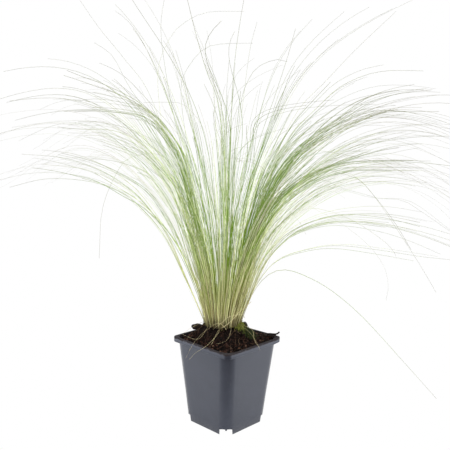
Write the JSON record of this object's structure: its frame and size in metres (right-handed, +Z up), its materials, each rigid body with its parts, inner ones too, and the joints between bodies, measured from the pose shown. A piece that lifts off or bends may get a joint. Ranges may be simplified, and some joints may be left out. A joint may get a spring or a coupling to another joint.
{
  "type": "mexican feather grass in nursery pot",
  "caption": "Tussock of thread-fine arching ornamental grass, straw at the base and green to silvery at the tips, rooted in peat in a small square tapered plastic pot.",
  "frame": {"origin": "centre of the pot's flat underside, on the surface it stands on", "axes": "+Z up along the pot's axis; X and Y square to the pot's faces"},
  "size_m": [0.6233, 0.6133, 0.4694],
  "materials": {
    "pot_plastic": "satin dark grey moulded plastic",
    "peat_soil": "matt moist peat",
    "bark": "matt broken bark",
    "moss": "matt green moss",
    "grass_blade": "satin leaf, straw at the base and silvery at the tip"
  },
  "bodies": {
    "root": {"pot": "pot_plastic", "soil": "peat_soil", "bark_chip_left": "bark", "bark_chip_crown": "bark", "bark_chip_right": "bark", "moss_cushion": "moss", "tuft_01": "grass_blade", "tuft_02": "grass_blade", "tuft_03": "grass_blade", "tuft_04": "grass_blade", "tuft_05": "grass_blade", "tuft_06": "grass_blade", "tuft_07": "grass_blade", "tuft_08": "grass_blade", "tuft_09": "grass_blade", "tuft_10": "grass_blade", "tuft_11": "grass_blade", "tuft_12": "grass_blade", "tuft_13": "grass_blade", "tuft_14": "grass_blade", "tuft_15": "grass_blade", "tuft_16": "grass_blade", "tuft_17": "grass_blade", "tuft_18": "grass_blade", "tuft_19": "grass_blade"}
  },
  "joints": []
}
